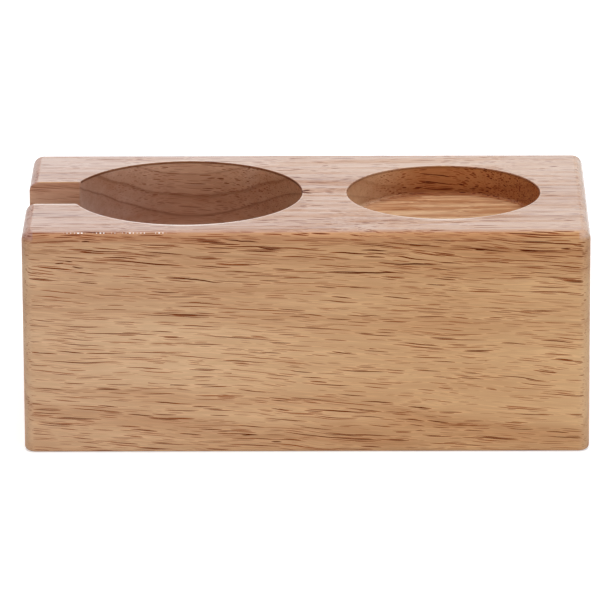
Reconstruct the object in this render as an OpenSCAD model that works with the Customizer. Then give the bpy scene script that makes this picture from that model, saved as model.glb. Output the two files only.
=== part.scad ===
// Espresso tamping station: one solid block of wood with a deep round recess that holds a
// portafilter, a slot at one end for its handle, and a shallow round seat for the tamper.
// Millimetres. The origin is the centre of the base, +X runs along the length towards the
// tamper seat, and the front face looks along -Y.

/* [Block] */
// Length of the block, from the slotted end to the seat end
block_l = 170; // [162:1:220]
// Width of the block, from front to back
block_w = 87; // [80:1:120]
// Height of the block
block_h = 69; // [64:1:100]
// Radius of the four upright corners
corner_round = 3.5; // [3:0.5:10]
// Radius of the rounding along the top edges
top_round = 3; // [1:0.5:3.5]
// Radius of the rounding along the bottom edges
base_round = 1.5; // [0.5:0.5:2.5]
// Radius that eases every rim and slot edge
edge_ease = 0.4; // [0.2:0.1:0.5]

/* [Portafilter recess] */
// Diameter of the recess, which takes the body of a 58 mm portafilter
recess_d = 70; // [60:0.5:76]
// Depth of the recess below the top face, enough for the spouts
recess_depth = 58; // [32:1:63]
// Radius of the cove between the recess wall and its floor
recess_cove = 6; // [1:0.5:10]
// Distance from the slotted end to the recess axis
recess_from_end = 48.5; // [44:0.5:54]

/* [Handle slot] */
// Width of the slot, which clears the neck of the handle
slot_w = 24; // [16:1:32]
// Depth of the slot below the top face, at the bottom of its round floor
slot_depth = 26; // [18:1:30]
// Radius of the upright corners where the slot opens into the recess
slot_corner = 1; // [0.6:0.1:4]

/* [Tamper seat] */
// Diameter of the seat, which clears the base of a 58 mm tamper
seat_d = 58.5; // [50:0.5:62]
// Depth of the seat below the top face
seat_depth = 9; // [6:0.5:15]
// Radius of the small cove between the seat wall and its floor
seat_cove = 1; // [0.5:0.5:5]
// Distance between the recess axis and the seat axis
seat_from_recess = 78; // [74:0.5:82]

/* [Hidden] */
$fn = 120;
// How far a cut runs past the surface that it opens
past = 1;
wood_colour = [0.78, 0.60, 0.42];
recess_x = recess_from_end - block_l / 2;
seat_x = recess_x + seat_from_recess;
recess_r = recess_d / 2;
slot_half = slot_w / 2;
// Height of the axis of the slot's round floor
slot_axis_z = block_h - slot_depth + slot_half;
// The slot's upright corners are arcs inside the wood, tangent to the slot wall and, but for
// a small lap, to the recess wall. Their centres are seen here from the recess axis.
arc_lap = 0.01;
lead_r = recess_r - arc_lap;
slot_corner_y = slot_half + slot_corner;
slot_corner_x = -sqrt(pow(lead_r + slot_corner, 2) - pow(slot_corner_y, 2));
// Where the arc on the +Y side meets the recess wall, and a point in the open beyond it
lead_end = [slot_corner_x, slot_corner_y] * lead_r / (lead_r + slot_corner);
lead_inside = lead_end * (recess_r - past) / recess_r;

// What a rounding of radius r takes off a square corner at the origin, with wood at +X +Y
module rounding_waste(r) {
    difference() {
        translate([-past, -past]) square(r + past);
        translate([r, r]) circle(r);
    }
}

// Upright half section of the block, rounded at its outer top and bottom corners
module block_half_section(half) {
    difference() {
        square([half, block_h]);
        translate([half, block_h]) rotate(180) rounding_waste(top_round);
        translate([half, 0]) mirror([1, 0]) rounding_waste(base_round);
    }
}

// Straight run of the block between two rounded corners, full size across the run
module block_run(length, across) {
    rotate([90, 0, 90]) translate([0, 0, -length / 2]) linear_extrude(length) {
        block_half_section(across / 2);
        mirror([1, 0]) block_half_section(across / 2);
    }
}

// Outer form: two crossing straight runs, and a turned quarter post at each upright corner
module rounded_block() {
    run_x = block_l - 2 * corner_round;
    run_y = block_w - 2 * corner_round;
    block_run(run_x, block_w);
    rotate(90) block_run(run_y, block_l);
    for (side_x = [0, 1], side_y = [0, 1])
        mirror([side_x, 0]) mirror([0, side_y])
            translate([run_x / 2, run_y / 2])
                rotate_extrude(angle = 90) block_half_section(corner_round);
}

// Round pocket cut from the top face, with a coved floor and an eased rim
module round_pocket(r, depth, cove) {
    translate([0, 0, block_h]) rotate_extrude() {
        difference() {
            translate([0, -depth]) square([r, depth + past]);
            translate([r, -depth]) mirror([1, 0]) rounding_waste(cove);
        }
        translate([r, 0]) mirror([0, 1]) rounding_waste(edge_ease);
    }
}

// Half of the slot's section along its length, seen from the recess axis: straight from
// outside the block, then widened by the arc that leads into the recess
module slot_section() {
    difference() {
        polygon([
            [-recess_from_end - past, 0],
            [-recess_from_end - past, slot_half],
            [slot_corner_x, slot_half],
            [slot_corner_x, slot_corner_y],
            lead_end,
            lead_inside,
            [lead_inside[0], 0]
        ]);
        translate([slot_corner_x, slot_corner_y]) circle(slot_corner);
    }
}

// Turns a section below the axis of the slot's round floor. The section has its distance
// from that axis along x and the length of the slot along y.
module round_slot_floor() {
    rotate([0, 90, 0]) rotate(-90) rotate_extrude(angle = 180) children();
}

// Channel with upright walls over a round floor, from outside the block into the recess.
// The rounding where it meets the recess runs on round the floor and fades out.
module slot_channel() {
    translate([recess_x, 0, slot_axis_z]) {
        round_slot_floor() mirror([1, -1]) slot_section();
        linear_extrude(slot_depth - slot_half + past) {
            slot_section();
            mirror([0, 1]) slot_section();
        }
    }
}

// Eased top of the rounded corner between the slot and the recess, on the +Y side
module slot_corner_ease() {
    translate([recess_x + slot_corner_x, slot_corner_y, block_h])
        rotate(-90) rotate_extrude(angle = acos(slot_corner_y / (lead_r + slot_corner)))
            translate([slot_corner, 0]) rotate(180) rounding_waste(edge_ease);
}

// Eased edge of the slot on the +Y side: along the top, over the rounded end, down the end
module slot_edge_ease() {
    translate([-block_l / 2 + top_round, slot_half, block_h])
        rotate([90, 0, 90]) linear_extrude(recess_from_end - top_round + slot_corner_x)
            mirror([0, 1]) rounding_waste(edge_ease);
    translate([-block_l / 2 + top_round, slot_half, block_h - top_round])
        rotate([-90, 0, 0]) rotate(180) rotate_extrude(angle = 90)
            translate([top_round, 0]) mirror([1, 0]) rounding_waste(edge_ease);
    translate([-block_l / 2, slot_half, slot_axis_z])
        linear_extrude(block_h - top_round - slot_axis_z) rounding_waste(edge_ease);
}

module handle_slot() {
    slot_channel();
    translate([-block_l / 2, 0, slot_axis_z]) round_slot_floor()
        translate([slot_half, 0]) rounding_waste(edge_ease);
    for (side = [0, 1])
        mirror([0, side]) {
            slot_corner_ease();
            slot_edge_ease();
        }
}

module station_block() {
    color(wood_colour)
        difference() {
            rounded_block();
            translate([recess_x, 0]) round_pocket(recess_r, recess_depth, recess_cove);
            translate([seat_x, 0]) round_pocket(seat_d / 2, seat_depth, seat_cove);
            handle_slot();
        }
}

station_block();
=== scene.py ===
"""Espresso tamping station: a block of pale hardwood under a satin lacquer, on a white floor.

The block's form comes from the frame. This script gives it the wood, the light and the camera.
Lengths are in metres, and the grain is worked out in millimetres of the block itself.
"""
import math
from collections import namedtuple

import bpy
from mathutils import Matrix, Vector


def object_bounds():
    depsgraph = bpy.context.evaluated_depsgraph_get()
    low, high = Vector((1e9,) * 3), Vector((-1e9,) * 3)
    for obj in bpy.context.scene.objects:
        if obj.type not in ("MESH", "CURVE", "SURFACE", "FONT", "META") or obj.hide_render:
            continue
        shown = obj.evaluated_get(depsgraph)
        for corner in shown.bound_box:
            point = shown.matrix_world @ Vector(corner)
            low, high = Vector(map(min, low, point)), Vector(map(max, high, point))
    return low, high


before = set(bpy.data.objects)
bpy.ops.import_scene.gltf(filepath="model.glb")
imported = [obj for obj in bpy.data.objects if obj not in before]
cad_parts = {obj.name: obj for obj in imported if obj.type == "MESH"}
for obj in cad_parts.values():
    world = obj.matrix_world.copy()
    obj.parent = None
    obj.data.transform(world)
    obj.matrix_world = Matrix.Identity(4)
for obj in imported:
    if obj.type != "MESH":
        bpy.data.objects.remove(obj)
CAD_BOX = [list(corner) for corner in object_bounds()]
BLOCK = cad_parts["station_block"]
LOW, HIGH = (Vector(corner) for corner in CAD_BOX)
MM = 0.001

# Camera, fitted to the rims and edges of the block in the photograph
CAMERA_AIM = Vector((-0.40, 0.0, 32.79)) * MM
CAMERA_AZIMUTH = math.radians(0.462)
CAMERA_ELEVATION = math.radians(16.919)
CAMERA_ROLL = math.radians(-0.257)
CAMERA_DISTANCE = 2.046068
FOCAL_PIXELS = 6692.4
PHOTO_PIXELS = 612
SENSOR = 36.0

# Lamps, in watts
TOP_POWER = 19.5
FRONT_POWER = 28.5
HIGH_FRONT_POWER = 2.6
RIGHT_POWER = 7.0
RIGHT_TINT = (0.70, 0.98, 1.35)

# Axis of the tree's growth rings: it runs along the length, at the base and near the front
PITH_DEPTH = -11.0
PITH_HEIGHT = 0.0
# Growth rings: outer radius, how dark its late wood is, how dark the next ring starts
RINGS = (
    (8.0, 0.45, 0.0), (15.5, 0.45, 0.0), (22.0, 0.50, 0.0), (28.0, 0.45, 0.10),
    (32.9, 0.50, 0.10), (35.8, 0.40, 0.08), (43.5, 0.15, 0.05), (54.0, 0.45, 0.15),
    (61.0, 0.28, 0.18), (68.7, 0.72, 0.55), (73.3, 0.88, 0.62), (79.5, 0.45, 0.25),
    (86.5, 0.60, 0.20), (95.0, 0.50, 0.0),
)
RING_REACH = 110.0
# How sharply the late wood gathers at the outer edge of its ring
LATE_POWER = 1.8
# Width of the thin dark line that closes a ring
LINE_WIDTH = 0.40

# Wood colours, linear. Every colour after the first two multiplies the wood's own colour,
# apart from the painted highlight along the rims and the white of the painted glints.
EARLY_WOOD = (0.722, 0.461, 0.240, 1)
LATE_WOOD = (0.435, 0.197, 0.079, 1)
RING_LINE = (0.62, 0.53, 0.49, 1)
PORE_RED = (0.40, 0.14, 0.03, 1)
PORE_DARK = (0.38, 0.25, 0.18, 1)
HALO = (1.13, 1.14, 1.15, 1)
# Painted highlight: a bright line along the round pockets and the slot
RIM_HIGHLIGHT = (1.00, 0.86, 0.74, 1)
# Painted highlight: white glints on the front top edge
GLINT = (1.00, 0.96, 0.92, 1)
SPLINTER_DARK = (0.24, 0.08, 0.02, 1)
# Tints of the masks that the group "zones" puts out, in the order in which they are laid
ZONE_TINTS = (
    # Painted shade on the rounded edge over the front
    ("Front edge shade", (0.90, 0.82, 0.80, 1)),
    # Painted sheen, darker and cooler, on the rounded edge over the slotted end
    ("Slotted end sheen", (0.86, 0.82, 0.98, 1)),
    ("Left", (1.02, 1.09, 1.30, 1)),
    ("End face", (1.17, 1.00, 0.87, 1)),
    ("Recess", (0.97, 0.95, 1.10, 1)),
    ("Grey", (1.03, 1.07, 1.13, 1)),
    # Painted light: the recess wall turns paler and cooler down from its top
    ("Lit lower wall", (1.16, 1.26, 1.45, 1)),
    ("Slot", (1.00, 0.93, 1.05, 1)),
    ("Seat", (0.92, 0.90, 0.99, 1)),
    # Painted shade on the right of the seat's wall
    ("Shaded side", (0.75, 0.52, 0.38, 1)),
    # Painted cool light on the rest of the seat's wall
    ("Lit side", (1.17, 1.28, 1.46, 1)),
    # Painted shade: a dark line at the top of the round walls
    ("Shade line", (0.40, 0.28, 0.21, 1)),
    # Painted sheen: the top face and part of the rounded edges at its ends turn cooler
    ("Sheen", (0.98, 1.05, 1.42, 1)),
)

# Pores of three sizes: name, shift of the pattern, length and spacing of its cells, thickness
# of a pore, how much they gather in crowds, share of the cells that hold one, strength.
# Lengths are in millimetres.
PORE_SIZES = (
    ("short", (0, 0, 0), 20.0, 0.335, 0.114, 3.2, 0.84, 1.0),
    ("long", (57, 23, 11), 78.0, 0.53, 0.124, 3.2, 0.76, 1.0),
    ("fine", (13, 71, 39), 15.0, 0.36, 0.10, 1.0, 0.90, 0.45),
)
# How much the pores dip towards +X beyond the rings, as a slope
PORE_DIP = 0.030
# Where the pores crowd more, and where they show less
MORE_CROWDED = (("Shaded side", 0.45), ("Recess", 0.15))
LESS_SHOWN = (("Flat", 0.40), ("Lit lower wall", 0.75), ("Grey", 0.75), ("Slot", 0.5), ("Seat", 0.60),
              ("Lit side", 0.45), ("Recess", 0.25))

# Lacquer film on the top face: its mean share and how much the streaks vary it
FILM_SHARE = 0.54
FILM_STREAKS = 4.3
# Share of the film that the rounded edges at the right and at the left end keep
RIGHT_SHEEN, LEFT_SHEEN = 0.72, 0.36

# Plan of the block, in millimetres: where the recess, seat and slot are
RECESS_AXIS, RECESS_RADIUS = -36.5, 35.0
SEAT_AXIS, SEAT_RADIUS = 41.5, 29.25
SLOT_HALF = 12.0
TOP = 69.0
END = 85.0

# Splinters on the top face beside the recess: middle along and in depth, half length and
# half width, slope
SPLINTERS = (((-0.5, 1.6), (1.8, 0.95), 0.5), ((-0.1, -0.6), (2.0, 0.95), -0.3))
# The darkest vessels on the front: middle along and in height, half length and half width,
# slope
DARK_VESSELS = (
    ((-65.7, 66.3), (1.5, 0.24), -0.05), ((-73.6, 59.5), (1.6, 0.22), 0.0),
    ((-70.9, 60.1), (1.5, 0.20), -0.05), ((-68.1, 58.3), (2.0, 0.22), -0.12),
    ((-33.6, 54.3), (9.5, 0.24), -0.097), ((-19.2, 66.3), (6.2, 0.20), -0.11),
    ((-10.7, 64.0), (4.4, 0.22), -0.08), ((20.3, 63.3), (4.6, 0.22), -0.03),
    ((17.2, 56.5), (12.5, 0.24), -0.027), ((31.5, 59.0), (9.0, 0.22), 0.0),
    ((52.0, 63.6), (2.0, 0.22), 0.0), ((66.3, 63.1), (3.2, 0.24), -0.04),
    ((77.4, 63.9), (1.7, 0.22), 0.0), ((-17.1, 5.6), (3.0, 0.20), -0.03),
    ((-9.1, 3.4), (1.8, 0.22), -0.05),
)


def place(tree, kind, wires=None, **settings):
    """Adds a node, sets its properties, and fills its inputs with values or with outputs."""
    node = tree.nodes.new(kind)
    for key, value in settings.items():
        setattr(node, key, value)
    for socket, value in (wires or {}).items():
        if isinstance(value, bpy.types.NodeSocket):
            tree.links.new(value, node.inputs[socket])
        else:
            node.inputs[socket].default_value = value
    return node


def sums(tree, operation, first, second=0.0, third=0.0, clamp=False):
    """One scalar operation on values or outputs."""
    wires = {0: first, 1: second, 2: third}
    return place(tree, "ShaderNodeMath", wires, operation=operation, use_clamp=clamp).outputs[0]


def vector_sums(tree, operation, first, second=(0, 0, 0)):
    """One vector operation on values or outputs."""
    wires = {0: first, 1: second}
    return place(tree, "ShaderNodeVectorMath", wires, operation=operation).outputs[0]


def times(tree, *factors):
    """Product of values or outputs."""
    product = factors[0]
    for factor in factors[1:]:
        product = sums(tree, "MULTIPLY", product, factor)
    return product


def step_between(tree, value, start, end):
    """Smooth step of a value from 0 at start to 1 at end."""
    wires = {"Value": value, "From Min": start, "From Max": end}
    return place(tree, "ShaderNodeMapRange", wires, interpolation_type="SMOOTHSTEP").outputs[0]


def band(tree, value, start, full, last, end):
    """Smooth band: rises from start to full, stays 1 up to last, and falls to 0 at end."""
    return times(tree, step_between(tree, value, start, full),
                 step_between(tree, value, end, last))


def in_millimetres(tree, where):
    """A place in metres, in millimetres."""
    scaled = vector_sums(tree, "SCALE", where)
    scaled.node.inputs["Scale"].default_value = 1 / MM
    return scaled


def mix_colours(tree, share, first, second, blend="MIX"):
    """Mixes two colours by a share."""
    node = place(tree, "ShaderNodeMix", data_type="RGBA", blend_type=blend)
    for socket, value in ((0, share), (6, first), (7, second)):
        if isinstance(value, bpy.types.NodeSocket):
            tree.links.new(value, node.inputs[socket])
        else:
            node.inputs[socket].default_value = value
    return node.outputs[2]


def noise(tree, where, stretch, detail=2.0, roughness=0.5):
    """Noise about 0, from -0.5 to 0.5, whose lumps measure stretch (mm) along each axis."""
    scaled = vector_sums(tree, "DIVIDE", where, stretch)
    wires = {"Vector": scaled, "Scale": 1.0, "Detail": detail, "Roughness": roughness}
    value = place(tree, "ShaderNodeTexNoise", wires, noise_dimensions="3D").outputs[0]
    return sums(tree, "SUBTRACT", value, 0.5)


def oval(tree, along, across, middle, half_sizes, slope):
    """A sloping oval mark on a face: 1 in its middle, 0 outside it. Lengths are in mm."""
    offset = sums(tree, "SUBTRACT", along, middle[0])
    rise = sums(tree, "SUBTRACT", sums(tree, "MULTIPLY_ADD", offset, -slope, across), middle[1])
    scaled = place(tree, "ShaderNodeCombineXYZ", {
        0: sums(tree, "DIVIDE", offset, half_sizes[0]),
        1: sums(tree, "DIVIDE", rise, half_sizes[1])})
    reach = place(tree, "ShaderNodeVectorMath", {0: scaled.outputs[0]}, operation="LENGTH")
    return step_between(tree, reach.outputs["Value"], 1.0, 0.6)


def ovals(tree, along, across, marks):
    """The strongest of several oval marks."""
    strongest = 0.0
    for middle, half_sizes, slope in marks:
        strongest = sums(tree, "MAXIMUM", strongest,
                         oval(tree, along, across, middle, half_sizes, slope))
    return strongest


def new_group(name, inputs, outputs):
    """An empty node group with named sockets. Returns its tree and its two end nodes."""
    tree = bpy.data.node_groups.new(name, "ShaderNodeTree")
    for socket, kind in inputs:
        tree.interface.new_socket(socket, in_out="INPUT", socket_type=kind)
    for socket, kind in outputs:
        tree.interface.new_socket(socket, in_out="OUTPUT", socket_type=kind)
    return tree, tree.nodes.new("NodeGroupInput"), tree.nodes.new("NodeGroupOutput")


def use_group(tree, group, wires):
    """Places a node group and fills its inputs."""
    node = tree.nodes.new("ShaderNodeGroup")
    node.node_tree = group
    for socket, value in wires.items():
        if isinstance(value, bpy.types.NodeSocket):
            tree.links.new(value, node.inputs[socket])
        else:
            node.inputs[socket].default_value = value
    return node


def grain_lay():
    """Group: place in the block (m) to place along and across the fibres (mm).

    The fibres run along X. They dip by a few parts in a hundred towards +X, and slow noise
    lets them rise and fall, so across = place + dip * x + wander.
    """
    tree, start, end = new_group(
        "grain lay", [("Place", "NodeSocketVector")], [("Fibre", "NodeSocketVector")])
    here = in_millimetres(tree, start.outputs["Place"])
    parts = place(tree, "ShaderNodeSeparateXYZ", {0: here})
    along, depth, height = parts.outputs
    slow_height = noise(tree, here, (85.0, 60.0, 26.0), 1.0)
    quick_height = noise(tree, here, (24.0, 30.0, 6.0), 1.0)
    small_height = noise(tree, here, (9.0, 12.0, 2.5), 1.0)
    slow_depth = noise(tree, vector_sums(tree, "ADD", here, (310.0, 70.0, 40.0)),
                       (95.0, 30.0, 50.0), 1.0)
    height = sums(tree, "MULTIPLY_ADD", along, 0.026, height)
    height = sums(tree, "MULTIPLY_ADD", slow_height, 5.0, height)
    height = sums(tree, "MULTIPLY_ADD", quick_height, 2.2, height)
    height = sums(tree, "MULTIPLY_ADD", small_height, 0.4, height)
    depth = sums(tree, "MULTIPLY_ADD", along, -0.020, depth)
    depth = sums(tree, "MULTIPLY_ADD", slow_depth, 5.0, depth)
    fibre = place(tree, "ShaderNodeCombineXYZ", {0: along, 1: depth, 2: height})
    tree.links.new(fibre.outputs[0], end.inputs["Fibre"])
    return tree


def growth_rings():
    """Group: fibre place to how far the wood is late wood, from 0 to 1.

    The ring radius is the distance from the pith plus noise. Across each ring the wood
    darkens slowly towards the ring's outer edge and then turns pale again at once. The
    second output is the thin line at that edge.
    """
    tree, start, end = new_group(
        "growth rings", [("Fibre", "NodeSocketVector")],
        [("Late", "NodeSocketFloat"), ("Line", "NodeSocketFloat")])
    fibre = start.outputs["Fibre"]
    parts = place(tree, "ShaderNodeSeparateXYZ", {0: fibre})
    depth = sums(tree, "SUBTRACT", parts.outputs[1], PITH_DEPTH)
    height = sums(tree, "SUBTRACT", parts.outputs[2], PITH_HEIGHT)
    square = sums(tree, "MULTIPLY_ADD", depth, depth, sums(tree, "MULTIPLY", height, height))
    radius = sums(tree, "SQRT", square)
    wander = noise(tree, fibre, (70.0, 12.0, 12.0), 2.0)
    radius = sums(tree, "MULTIPLY_ADD", wander, 2.2, radius)
    share = sums(tree, "DIVIDE", radius, RING_REACH)
    ramp = place(tree, "ShaderNodeValToRGB", {0: share})
    stops = ramp.color_ramp.elements
    stops[0].color = stops[1].color = (0, 0, 0, 1)
    for outer, dark, pale in RINGS:
        for radius_mm, level in ((outer, dark), (outer + 0.5, pale)):
            rise = level ** (1 / LATE_POWER)
            stops.new(radius_mm / RING_REACH).color = (rise, rise, rise, 1)
    late = sums(tree, "POWER", ramp.outputs[0], LATE_POWER)
    lines = place(tree, "ShaderNodeValToRGB", {0: share})
    stops = lines.color_ramp.elements
    stops[0].color = stops[1].color = (0, 0, 0, 1)
    for outer, dark, pale in RINGS:
        if dark > 0.35 and outer > 30:
            for radius_mm, level in ((outer - LINE_WIDTH, 0), (outer, dark),
                                     (outer + LINE_WIDTH, 0)):
                stops.new(radius_mm / RING_REACH).color = (level, level, level, 1)
    tree.links.new(late, end.inputs["Late"])
    tree.links.new(lines.outputs[0], end.inputs["Line"])
    return tree


def pores():
    """Group: fibre place to masks of the wood's open pores.

    Each cell of a stretched Voronoi pattern holds one pore, an ellipsoid round the cell's
    point that is long along the fibre. The cell's random colour says whether the pore
    shows, how short it is and how dark. Where the surface cuts along the fibre a pore is a
    dash, and on end grain it is a dot. Stain is the whole pore, Core the middle of the
    darkest ones, and Halo the paler wood round each.
    """
    tree, start, end = new_group(
        "pores",
        [("Fibre", "NodeSocketVector"), ("Length", "NodeSocketFloat"),
         ("Spacing", "NodeSocketFloat"), ("Thickness", "NodeSocketFloat"),
         ("Share", "NodeSocketFloat")],
        [(name, "NodeSocketFloat") for name in ("Stain", "Core", "Halo")])
    given = start.outputs
    cell = place(tree, "ShaderNodeCombineXYZ",
                 {0: given["Length"], 1: sums(tree, "MULTIPLY", given["Spacing"], 2.2),
                  2: given["Spacing"]})
    scaled = vector_sums(tree, "DIVIDE", given["Fibre"], cell.outputs[0])
    voronoi = place(tree, "ShaderNodeTexVoronoi", {"Vector": scaled, "Scale": 1.0,
                    "Randomness": 1.0}, voronoi_dimensions="3D", feature="F1")
    chance = place(tree, "ShaderNodeSeparateColor", {0: voronoi.outputs["Color"]})
    keep, size, dark = chance.outputs
    away = vector_sums(tree, "SUBTRACT", scaled, voronoi.outputs["Position"])
    shorter = place(tree, "ShaderNodeCombineXYZ", {
        0: sums(tree, "MULTIPLY_ADD", size, 1.6, 0.9), 1: 1.0, 2: 1.0})
    away = vector_sums(tree, "MULTIPLY", away, shorter.outputs[0])
    distance = place(tree, "ShaderNodeVectorMath", {0: away}, operation="LENGTH")
    reach = sums(tree, "DIVIDE", given["Thickness"], given["Spacing"])
    reach = sums(tree, "MULTIPLY", reach, sums(tree, "MULTIPLY_ADD", dark, 0.60, 0.72))
    inside = sums(tree, "SUBTRACT", 1.0,
                  sums(tree, "DIVIDE", distance.outputs["Value"], reach))
    shown = sums(tree, "LESS_THAN", keep, given["Share"])
    depth = sums(tree, "MULTIPLY", shown, sums(tree, "MULTIPLY_ADD", dark, 0.50, 0.60))
    darkest = sums(tree, "MULTIPLY", shown, step_between(tree, dark, 0.55, 0.95))
    stain = sums(tree, "MULTIPLY", step_between(tree, inside, 0.0, 0.10), depth)
    core = sums(tree, "MULTIPLY", step_between(tree, inside, 0.10, 0.40), darkest)
    halo = sums(tree, "MULTIPLY", step_between(tree, inside, -1.0, -0.35), depth)
    tree.links.new(stain, end.inputs["Stain"])
    tree.links.new(core, end.inputs["Core"])
    tree.links.new(halo, end.inputs["Halo"])
    return tree


Spot = namedtuple("Spot", "along depth height normal squarely nearer")
Spot.__doc__ = """Where a shaded point lies (mm), its normal, how squarely it cuts the fibres,
and a step from 0 on the back half of the block to 1 on the front half."""


def pocket_masks(tree, spot):
    """Masks of the recess, the slot and the seat, and the distances that they come from.

    A distance is measured outside a round pocket's wall, from its axis, or outside the
    slot's walls, from its middle. The slot only counts at the slotted end.
    """
    depth_squared = times(tree, spot.depth, spot.depth)

    def pocket(axis, radius):
        """Distance outside a round pocket's wall, and how far round it the place is."""
        offset = sums(tree, "SUBTRACT", spot.along, axis)
        reach = sums(tree, "SQRT", sums(tree, "MULTIPLY_ADD", offset, offset, depth_squared))
        return sums(tree, "SUBTRACT", reach, radius), sums(tree, "DIVIDE", offset, reach)

    recess, recess_side = pocket(RECESS_AXIS, RECESS_RADIUS)
    seat, seat_side = pocket(SEAT_AXIS, SEAT_RADIUS)
    slot = sums(tree, "SUBTRACT", sums(tree, "ABSOLUTE", spot.depth), SLOT_HALF)
    slot = sums(tree, "MAXIMUM", slot, sums(tree, "SUBTRACT", spot.along, RECESS_AXIS))
    below = step_between(tree, spot.height, TOP - 0.1, TOP - 0.5)
    in_recess = times(tree, step_between(tree, recess, 0.5, 0.1), below)
    in_slot = times(tree, step_between(tree, slot, 0.5, 0.1), below,
                    step_between(tree, recess, 0.1, 0.5),
                    step_between(tree, spot.squarely, 0.8, 0.4))
    # Painted light down the wall of the recess
    low = times(tree, in_recess, step_between(tree, spot.height, 66.0, 44.0),
                step_between(tree, spot.normal[2], 0.9, 0.5))
    grey = times(tree, in_recess, step_between(tree, spot.along, -42.0, -68.0))
    wall = times(tree, step_between(tree, seat, 0.5, 0.1), below,
                 step_between(tree, seat, -1.2, -0.4))
    floor = times(tree, step_between(tree, seat, 0.0, -0.5),
                  step_between(tree, spot.normal[2], 0.5, 0.9),
                  step_between(tree, spot.height, TOP - 2.0, TOP - 4.0))
    # The right of the seat's wall takes painted shade, the rest of it painted light
    rightward = step_between(tree, spot.along, 13.0, 36.0)
    masks = {"Recess": in_recess, "Grey": grey, "Lit lower wall": low, "Slot": in_slot, "Seat": floor,
             "Shaded side": times(tree, wall, rightward),
             "Lit side": times(tree, wall, sums(tree, "SUBTRACT", 1.0, rightward))}
    return masks, slot, recess, ((recess, recess_side, 1.0), (seat, seat_side, 0.65))


def rim_masks(tree, spot, slot, recess, pockets):
    """Masks of the dark line at the top of the round walls and of the bright line above it.

    The bright line's width shrinks to a third towards the ends of the block, and is less at
    the back. It also runs along the slot.
    """
    width = sums(tree, "MULTIPLY_ADD", spot.nearer, 0.35, 0.85)
    highlight_line, edge = 0.0, 0.0
    for outside, sideways, clarity in pockets:
        square = times(tree, sideways, sideways)
        narrow = sums(tree, "SQRT", sums(tree, "MULTIPLY_ADD", square, 8.0, 1.0))
        scaled = times(tree, sums(tree, "SUBTRACT", outside, 0.30), narrow)
        ring = band(tree, scaled, -0.1, 0.1, sums(tree, "SUBTRACT", width, 0.4), width)
        faded = sums(tree, "MULTIPLY_ADD", square, -0.75 * clarity, clarity)
        highlight_line = sums(tree, "MAXIMUM", highlight_line, times(tree, ring, faded))
        shade = times(tree, step_between(tree, outside, 0.30, 0.10), clarity)
        edge = sums(tree, "MAXIMUM", edge, shade)
    clear_of_slot = step_between(tree, slot, 0.3, 0.8)
    beside_slot = times(tree, band(tree, slot, 0.20, 0.40, 0.85, 1.25),
                        step_between(tree, recess, 0.0, 1.0))
    highlight_line = sums(tree, "MAXIMUM", times(tree, highlight_line, clear_of_slot), beside_slot)
    highlight_line = times(tree, highlight_line, sums(tree, "MULTIPLY_ADD", spot.nearer, 0.60, 0.40),
                step_between(tree, spot.height, TOP - 0.15, TOP - 0.02))
    edge = times(tree, edge, clear_of_slot,
                 step_between(tree, spot.height, TOP - 0.85, TOP - 0.5))
    return {"Shade line": edge, "Highlight line": highlight_line}


def outside_masks(tree, spot):
    """Masks of the top face, its rounded edges and the two ends.

    The film thins out down the long edges, and stops at once at the ends, whose rounded
    edges keep part of its sheen.
    """
    upward, endward = spot.normal[2], spot.normal[0]
    flat = times(tree, step_between(tree, upward, 0.78, 0.97),
                 step_between(tree, spot.squarely, 0.25, 0.05))
    flat = sums(tree, "MAXIMUM", flat, step_between(tree, upward, 0.980, 0.998))
    flat = times(tree, flat, step_between(tree, spot.height, TOP - 1.5, TOP - 1.0))
    # Painted shade on the rounded edge over the front
    front_edge_shade = times(tree, step_between(tree, spot.height, TOP - 3.8, TOP - 2.4),
                 step_between(tree, upward, 0.99, 0.90),
                 step_between(tree, spot.depth, -39.5, -41.0),
                 step_between(tree, spot.along, 74.0, 60.0))
    turned = times(tree, step_between(tree, upward, 0.05, 0.45),
                   step_between(tree, spot.height, TOP - 4.0, TOP - 2.5))
    ends = sums(tree, "MAXIMUM",
                times(tree, step_between(tree, endward, 0.02, 0.10), RIGHT_SHEEN),
                times(tree, step_between(tree, endward, -0.02, -0.10), LEFT_SHEEN))
    # Painted sheen on the rounded edge over the slotted end
    slotted_end_sheen = times(tree, turned, step_between(tree, endward, -0.02, -0.12),
                step_between(tree, upward, 0.998, 0.98))
    end_face = times(tree,
                     step_between(tree, sums(tree, "ABSOLUTE", spot.along), END - 0.7, END - 0.05),
                     step_between(tree, spot.squarely, 0.8, 1.0))
    return {"Flat": flat, "Sheen": sums(tree, "MAXIMUM", flat, times(tree, ends, turned)),
            "Front edge shade": front_edge_shade, "Slotted end sheen": slotted_end_sheen, "End": spot.squarely, "End face": end_face,
            "Left": step_between(tree, spot.along, 60.0, -100.0),
            "Right": step_between(tree, spot.along, 30.0, 90.0)}


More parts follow.
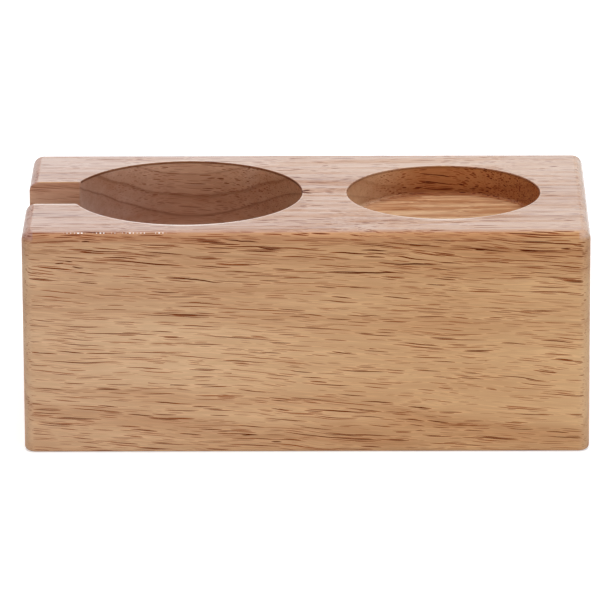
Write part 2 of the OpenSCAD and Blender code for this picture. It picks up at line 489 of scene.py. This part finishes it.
def mark_masks(tree, spot, here):
    """Masks of the small marks: glints on the front top edge, splinters and dark vessels.

    The glints are the crests of a sine along the edge, where slow noise lifts them.
    """
    row = times(tree, band(tree, spot.height, TOP - 0.72, TOP - 0.56, TOP - 0.50, TOP - 0.34),
                step_between(tree, spot.depth, -40.0, -41.0),
                band(tree, spot.along, -73.0, -71.5, -43.0, -41.0))
    wave = sums(tree, "SINE", times(tree, spot.along, math.tau / 1.1))
    gaps = place(tree, "ShaderNodeCombineXYZ", {0: spot.along}).outputs[0]
    gaps = noise(tree, gaps, (3.0, 3.0, 3.0), 1.0)
    crests = step_between(tree, sums(tree, "MULTIPLY_ADD", gaps, 6.0, wave), 0.4, 1.4)
    splinter = ovals(tree, spot.along, spot.depth, SPLINTERS)
    wavy = noise(tree, here, (5.0, 5.0, 5.0), 1.0)
    wavy = sums(tree, "MULTIPLY_ADD", wavy, 0.9, spot.height)
    vessel = ovals(tree, spot.along, wavy, DARK_VESSELS)
    return {
        "Glint": times(tree, row, crests),
        "Splinter": times(tree, splinter, step_between(tree, spot.height, TOP - 1.0, TOP - 0.5)),
        "Vessel": times(tree, vessel, step_between(tree, spot.depth, -36.0, -40.0))}


def zones():
    """Group: place in the block (m) and surface normal to masks of the block's parts.

    Recess, Slot, Seat and Wall are 1 inside the recess, inside the slot, on the seat's floor
    and on the right of the seat's wall, and Pale is the rest of that wall. Grey grows
    towards the slot inside the recess, and Low down its wall. Edge and Rim are the dark and
    the bright line round the pockets. Glint, Splinter and Vessel are small marks. Flat is
    the top face, and Sheen adds part of the rounded edges at its ends. Brow is the rounded
    edge over the front, and Lip the one over the slotted end. Left and Right grow towards
    the ends, End is how squarely the surface cuts the fibres, and End face is the flat of
    the two ends.
    """
    names = ("Recess", "Grey", "Lit lower wall", "Slot", "Seat", "Shaded side", "Lit side", "Shade line", "Highlight line", "Glint",
             "Splinter", "Vessel", "Front edge shade", "Flat", "Sheen", "Slotted end sheen", "Left", "Right", "End",
             "End face")
    tree, start, end = new_group(
        "zones", [("Place", "NodeSocketVector"), ("Normal", "NodeSocketVector")],
        [(name, "NodeSocketFloat") for name in names])
    here = in_millimetres(tree, start.outputs["Place"])
    along, depth, height = place(tree, "ShaderNodeSeparateXYZ", {0: here}).outputs
    normal = place(tree, "ShaderNodeSeparateXYZ", {0: start.outputs["Normal"]}).outputs
    spot = Spot(along, depth, height, normal, sums(tree, "ABSOLUTE", normal[0]),
                step_between(tree, depth, 6.0, -6.0))
    masks, slot, recess, pockets = pocket_masks(tree, spot)
    masks.update(rim_masks(tree, spot, slot, recess, pockets))
    masks.update(outside_masks(tree, spot))
    masks.update(mark_masks(tree, spot, here))
    for name in names:
        tree.links.new(masks[name], end.inputs[name])
    return tree


def all_pores(tree, fibre, late, zone):
    """Stain, core and halo of the pores of every size, and of the dark vessels.

    Pores gather in crowds and in late wood. They show less on end grain, under the film on
    the top face, and in the recess.
    """
    crowd = noise(tree, fibre, (40.0, 4.0, 4.0), 2.0)
    crowd = sums(tree, "MULTIPLY_ADD", late, 0.58, crowd)
    for part, more in MORE_CROWDED:
        crowd = sums(tree, "MULTIPLY_ADD", zone[part], more, crowd)
    outside = sums(tree, "MULTIPLY_ADD", zone["Recess"], -0.45, 1.0)
    outside = sums(tree, "SUBTRACT", outside, zone["Shaded side"])
    clear = times(tree, zone["End"], outside)
    clear = sums(tree, "MULTIPLY_ADD", clear, -0.90, 1.0)
    for part, less in LESS_SHOWN:
        clear = times(tree, clear, sums(tree, "MULTIPLY_ADD", zone[part], -less, 1.0))
    along = place(tree, "ShaderNodeSeparateXYZ", {0: fibre}).outputs[0]
    dip = place(tree, "ShaderNodeCombineXYZ", {2: times(tree, along, PORE_DIP)})
    vessels = vector_sums(tree, "ADD", fibre, dip.outputs[0])
    thicker = sums(tree, "MULTIPLY_ADD", late, 0.34, 0.86)
    group = pores()
    masks = [zone["Vessel"], zone["Vessel"], 0.0]
    for name, shift, length, spacing, thick, gathered, share, strength in PORE_SIZES:
        found = use_group(tree, group, {
            "Fibre": vector_sums(tree, "ADD", vessels, shift), "Length": length,
            "Spacing": spacing, "Thickness": times(tree, thicker, thick),
            "Share": sums(tree, "MULTIPLY_ADD", crowd, gathered, share)})
        found.label = name
        shown = times(tree, clear, strength)
        for index, mask in enumerate(("Stain", "Core", "Halo")):
            masks[index] = sums(tree, "MAXIMUM", masks[index],
                                times(tree, found.outputs[mask], shown))
    return masks


def bare_wood(tree, fibre, late, fine, zone):
    """Colour of the wood before its pores: from early to late wood by a tone.

    The tone is a share of the late wood plus broad, fine and cloudy noise, and on the floor
    of the seat and in the slot also plus lines along the fibre.
    """
    broad = noise(tree, fibre, (80.0, 2.2, 2.2), 2.0)
    cloud = noise(tree, fibre, (70.0, 16.0, 12.0), 1.0)
    tone = sums(tree, "MULTIPLY_ADD", late, 0.62, 0.34)
    tone = sums(tree, "MULTIPLY_ADD", broad, 0.42, tone)
    tone = sums(tree, "MULTIPLY_ADD", fine, 0.27, tone)
    tone = sums(tree, "MULTIPLY_ADD", cloud, 0.65, tone, clamp=True)
    floor_line = noise(tree, fibre, (120.0, 1.8, 0.9), 3.0, 0.6)
    lined = sums(tree, "MULTIPLY_ADD", zone["Slot"], 0.25, zone["Seat"])
    tone = sums(tree, "MULTIPLY_ADD", times(tree, floor_line, lined), 3.6, tone, clamp=True)
    return mix_colours(tree, tone, EARLY_WOOD, LATE_WOOD)


def lacquer_film(tree, fibre, core, zone):
    """Share of the surface that the lacquer's film covers.

    On the top face it is streaked along the fibre and grows towards the ends and the back.
    It is thin elsewhere, thicker on end grain, and open over the darkest pores.
    """
    streak = noise(tree, fibre, (66.0, 1.7, 1.7), 4.0, 0.75)
    depth = place(tree, "ShaderNodeSeparateXYZ", {0: fibre}).outputs[1]
    film = sums(tree, "MULTIPLY_ADD", streak, FILM_STREAKS, FILM_SHARE)
    film = sums(tree, "MULTIPLY_ADD", sums(tree, "POWER", zone["Left"], 2.0), 0.35, film)
    film = sums(tree, "MULTIPLY_ADD", zone["Right"], 0.36, film)
    film = sums(tree, "MULTIPLY_ADD", depth, 0.0018, film)
    film = times(tree, film, zone["Sheen"])
    film = sums(tree, "ADD", film, sums(tree, "MULTIPLY_ADD", zone["End"], 0.18, 0.03))
    film = sums(tree, "MULTIPLY_ADD", core, -0.90, film)
    film = sums(tree, "SUBTRACT", film, zone["Splinter"])
    return sums(tree, "SUBTRACT", film, zone["Shade line"], clamp=True)


def lacquered_wood():
    """Material: pale hardwood with rings, pores and streaks, under a satin lacquer."""
    material = bpy.data.materials.new("lacquered wood")
    material.use_nodes = True
    tree = material.node_tree
    tree.nodes.clear()
    coordinates = tree.nodes.new("ShaderNodeTexCoord").outputs
    where = coordinates["Object"]
    fibre = use_group(tree, grain_lay(), {"Place": where}).outputs["Fibre"]
    rings = use_group(tree, growth_rings(), {"Fibre": fibre}).outputs
    zone = use_group(
        tree, zones(), {"Place": where, "Normal": coordinates["Normal"]}).outputs
    stain, core, halo = all_pores(tree, fibre, rings["Late"], zone)
    fine = noise(tree, fibre, (30.0, 0.75, 0.75), 3.0, 0.6)

    colour = bare_wood(tree, fibre, rings["Late"], fine, zone)
    colour = mix_colours(tree, halo, colour, HALO, "MULTIPLY")
    ring_line = times(tree, rings["Line"], sums(tree, "MULTIPLY_ADD", zone["Recess"], 0.75, 0.55))
    tints = [(ring_line, RING_LINE), (stain, PORE_RED), (core, PORE_DARK)]
    tints += [(zone[name], tint) for name, tint in ZONE_TINTS]
    for share, tint in tints:
        colour = mix_colours(tree, share, colour, tint, "MULTIPLY")
    # Painted highlight along the pockets and the slot, then painted glints on the front top edge
    colour = mix_colours(tree, times(tree, zone["Highlight line"], 0.85), colour, RIM_HIGHLIGHT)
    colour = mix_colours(tree, zone["Glint"], colour, GLINT)
    colour = mix_colours(tree, zone["Splinter"], colour, SPLINTER_DARK, "MULTIPLY")

    relief = sums(tree, "MULTIPLY_ADD", fine, 0.35, times(tree, core, -1.0))
    bump = place(tree, "ShaderNodeBump",
                 {"Height": relief, "Strength": 0.5, "Distance": 0.06 * MM})
    surface = place(tree, "ShaderNodeBsdfPrincipled", {
        "Base Color": colour, "Roughness": sums(tree, "MULTIPLY_ADD", fine, 0.10, 0.42),
        "Normal": bump.outputs[0], "IOR": 1.5, "Specular IOR Level": 0.05,
        "Coat Weight": lacquer_film(tree, fibre, core, zone), "Coat Roughness": 0.18,
        "Coat IOR": 2.4})
    result = tree.nodes.new("ShaderNodeOutputMaterial")
    tree.links.new(surface.outputs[0], result.inputs["Surface"])
    return material


def camera_directions(azimuth, elevation):
    """Unit vectors of a camera's right, up and back, from where it stands round the block."""
    back = Vector((math.sin(azimuth) * math.cos(elevation),
                   -math.cos(azimuth) * math.cos(elevation), math.sin(elevation)))
    right = Vector((math.cos(azimuth), math.sin(azimuth), 0.0))
    return right, back.cross(right), back


def make_camera():
    """The photograph's camera: long, a little above the block and square to its front."""
    right, up, back = camera_directions(CAMERA_AZIMUTH, CAMERA_ELEVATION)
    turn, rise = math.cos(CAMERA_ROLL), math.sin(CAMERA_ROLL)
    rolled_right = right * turn + up * rise
    rolled_up = up * turn - right * rise
    data = bpy.data.cameras.new("camera")
    data.sensor_width = SENSOR
    data.lens = FOCAL_PIXELS / PHOTO_PIXELS * SENSOR
    data.clip_start, data.clip_end = 0.05, 50.0
    camera = bpy.data.objects.new("camera", data)
    bpy.context.scene.collection.objects.link(camera)
    turned = Matrix((rolled_right, rolled_up, back)).transposed().to_4x4()
    camera.matrix_world = Matrix.Translation(CAMERA_AIM + back * CAMERA_DISTANCE) @ turned
    bpy.context.scene.camera = camera


def seen_ray(tree):
    """1 for rays that look straight or by reflection, 0 for rays that gather soft light."""
    seen = tree.nodes.new("ShaderNodeLightPath").outputs
    shown = sums(tree, "MAXIMUM", seen["Is Camera Ray"], seen["Is Glossy Ray"])
    return sums(tree, "MAXIMUM", shown, seen["Is Transmission Ray"])


def make_floor():
    """A wide white floor. It keeps the block's shadow, and looks pale in a reflection."""
    half = 3.0
    mesh = bpy.data.meshes.new("floor")
    corners = [(-half, -half, 0), (half, -half, 0), (half, half, 0), (-half, half, 0)]
    mesh.from_pydata(corners, [], [(0, 1, 2, 3)])
    floor = bpy.data.objects.new("floor", mesh)
    bpy.context.scene.collection.objects.link(floor)
    material = bpy.data.materials.new("white floor")
    material.use_nodes = True
    tree = material.node_tree
    tree.nodes.clear()
    diffuse = place(tree, "ShaderNodeBsdfDiffuse", {"Color": (0.80, 0.80, 0.80, 1)})
    glow = place(tree, "ShaderNodeEmission", {
        "Color": (1, 1, 1, 1), "Strength": sums(tree, "MULTIPLY", seen_ray(tree), 0.55)})
    both = place(tree, "ShaderNodeAddShader", {0: diffuse.outputs[0], 1: glow.outputs[0]})
    result = tree.nodes.new("ShaderNodeOutputMaterial")
    tree.links.new(both.outputs[0], result.inputs["Surface"])
    mesh.materials.append(material)


def make_world():
    """A white studio to the camera and in reflections. It adds no soft light of its own."""
    world = bpy.data.worlds.new("studio")
    bpy.context.scene.world = world
    world.use_nodes = True
    tree = world.node_tree
    tree.nodes.clear()
    white = place(tree, "ShaderNodeBackground",
                  {"Color": (1, 1, 1, 1), "Strength": seen_ray(tree)})
    result = tree.nodes.new("ShaderNodeOutputWorld")
    tree.links.new(white.outputs[0], result.inputs["Surface"])


def make_lamp(name, place_at, aim, size, power, tint=(1, 1, 1), mirrored=False):
    """A rectangular soft lamp that points at aim. Reflections show it only if mirrored."""
    data = bpy.data.lights.new(name, "AREA")
    data.shape = "RECTANGLE"
    data.size, data.size_y = size
    data.energy = power
    data.color = tint
    lamp = bpy.data.objects.new(name, data)
    bpy.context.scene.collection.objects.link(lamp)
    lamp.location = place_at
    lamp.rotation_mode = "QUATERNION"
    lamp.rotation_quaternion = (Vector(aim) - Vector(place_at)).to_track_quat("-Z", "Y")
    lamp.visible_glossy = mirrored
    lamp.visible_camera = False
    return lamp


make_camera()
make_floor()
make_world()
make_lamp("overhead panel", (0, 0, 1.3), (0, 0, 0), (1.3, 1.3), TOP_POWER)
make_lamp("front panel", (0, -2.0, 0.27), (0, 0, 0.27), (6.0, 0.52), FRONT_POWER)
make_lamp("high front panel", (0, -1.9, 0.95), (0, 0, 0.05), (3.4, 0.75), HIGH_FRONT_POWER)
make_lamp("right panel", (1.9, -0.4, 0.85), (0, 0, 0.05), (1.4, 0.8), RIGHT_POWER,
          RIGHT_TINT)
BLOCK.data.materials.clear()
BLOCK.data.materials.append(lacquered_wood())

bpy.context.scene.view_settings.view_transform = "Standard"
